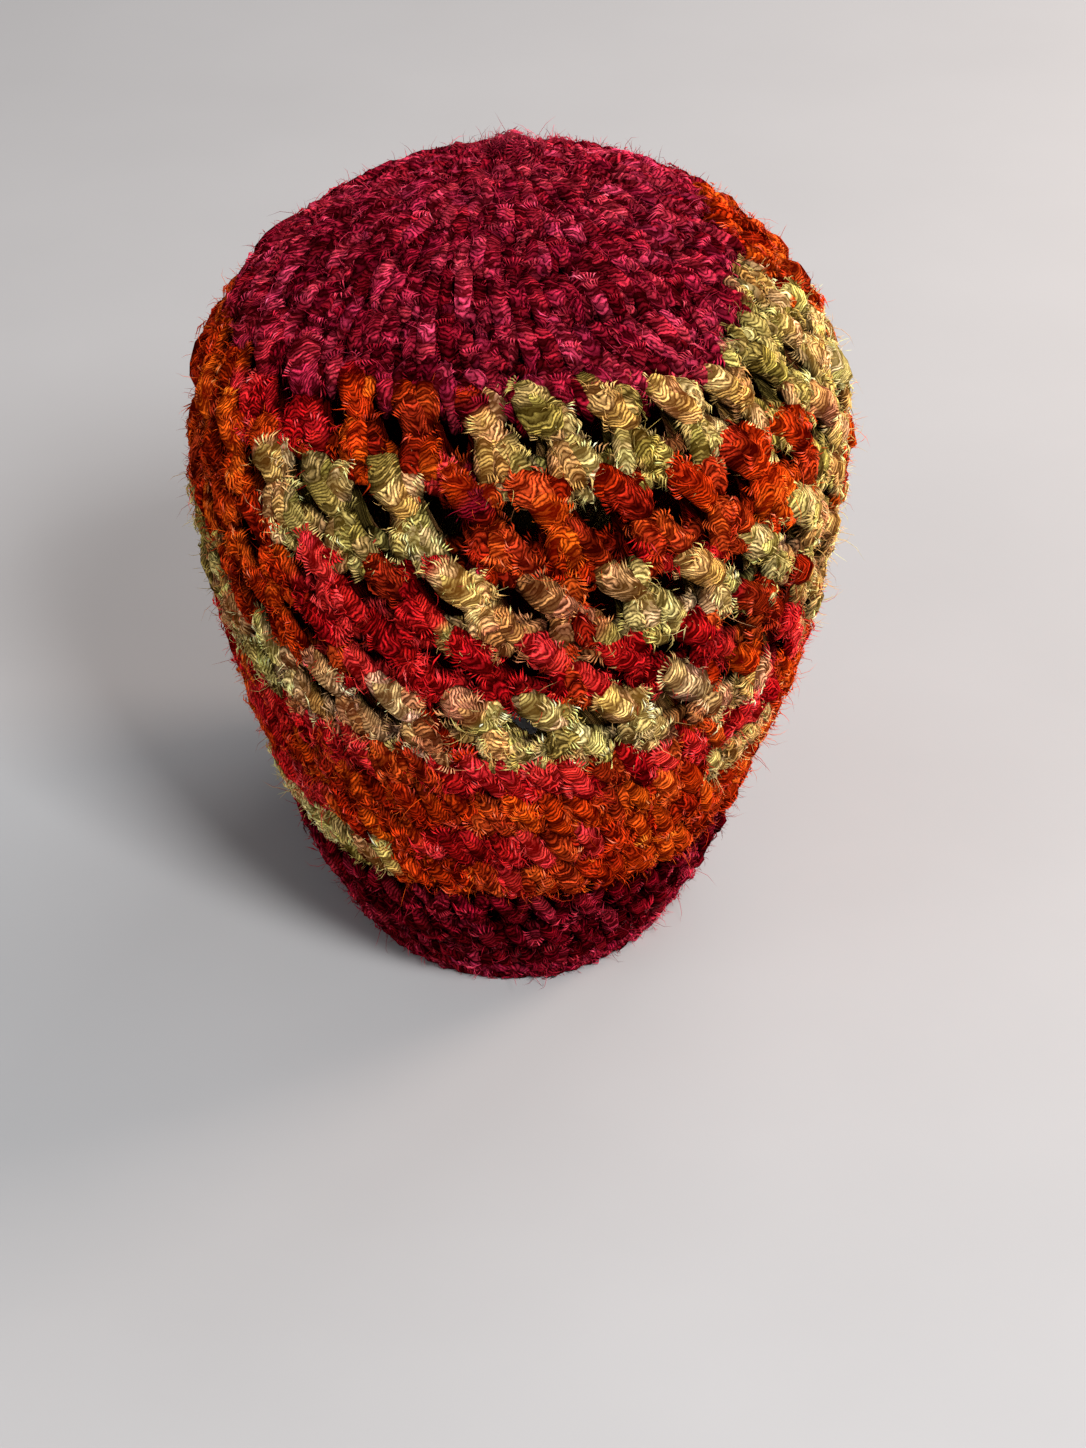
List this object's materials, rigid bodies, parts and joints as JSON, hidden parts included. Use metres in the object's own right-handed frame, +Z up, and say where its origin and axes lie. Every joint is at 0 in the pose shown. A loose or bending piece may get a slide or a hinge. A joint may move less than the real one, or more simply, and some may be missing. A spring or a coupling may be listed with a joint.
{
  "type": "crocheted cap",
  "caption": "Brimless crocheted cap with a closed crown, open rounds of leaning stitch groups, dense rounds and a plain band that narrows to the rim.",
  "frame": {"origin": "centre of the foot of the hat's box, on the plane that the rim stands on", "axes": "+Z up to the crown, -Y towards the side that the picture shows, +X to the right of that side"},
  "size_m": [0.1711, 0.198, 0.1905],
  "materials": {
    "maroon_yarn": "soft fuzzy yarn",
    "tan_orange_yarn": "soft fuzzy yarn",
    "rust_yarn": "soft fuzzy yarn",
    "brown_tan_yarn": "soft fuzzy yarn",
    "red_yarn": "soft fuzzy yarn",
    "tan_yarn": "soft fuzzy yarn",
    "orange_yarn": "soft fuzzy yarn"
  },
  "bodies": {
    "root": {"crown_knot": "maroon_yarn", "crown": "maroon_yarn", "mesh_round_1": "tan_orange_yarn", "mesh_round_2": "rust_yarn", "mesh_round_3": "brown_tan_yarn", "mesh_round_4": "red_yarn", "mesh_round_5": "tan_yarn", "close_round_1": "red_yarn", "close_round_2": "orange_yarn", "close_round_3": "red_yarn", "close_round_4": "orange_yarn", "brim": "maroon_yarn", "brim_edge": "maroon_yarn"}
  },
  "joints": []
}
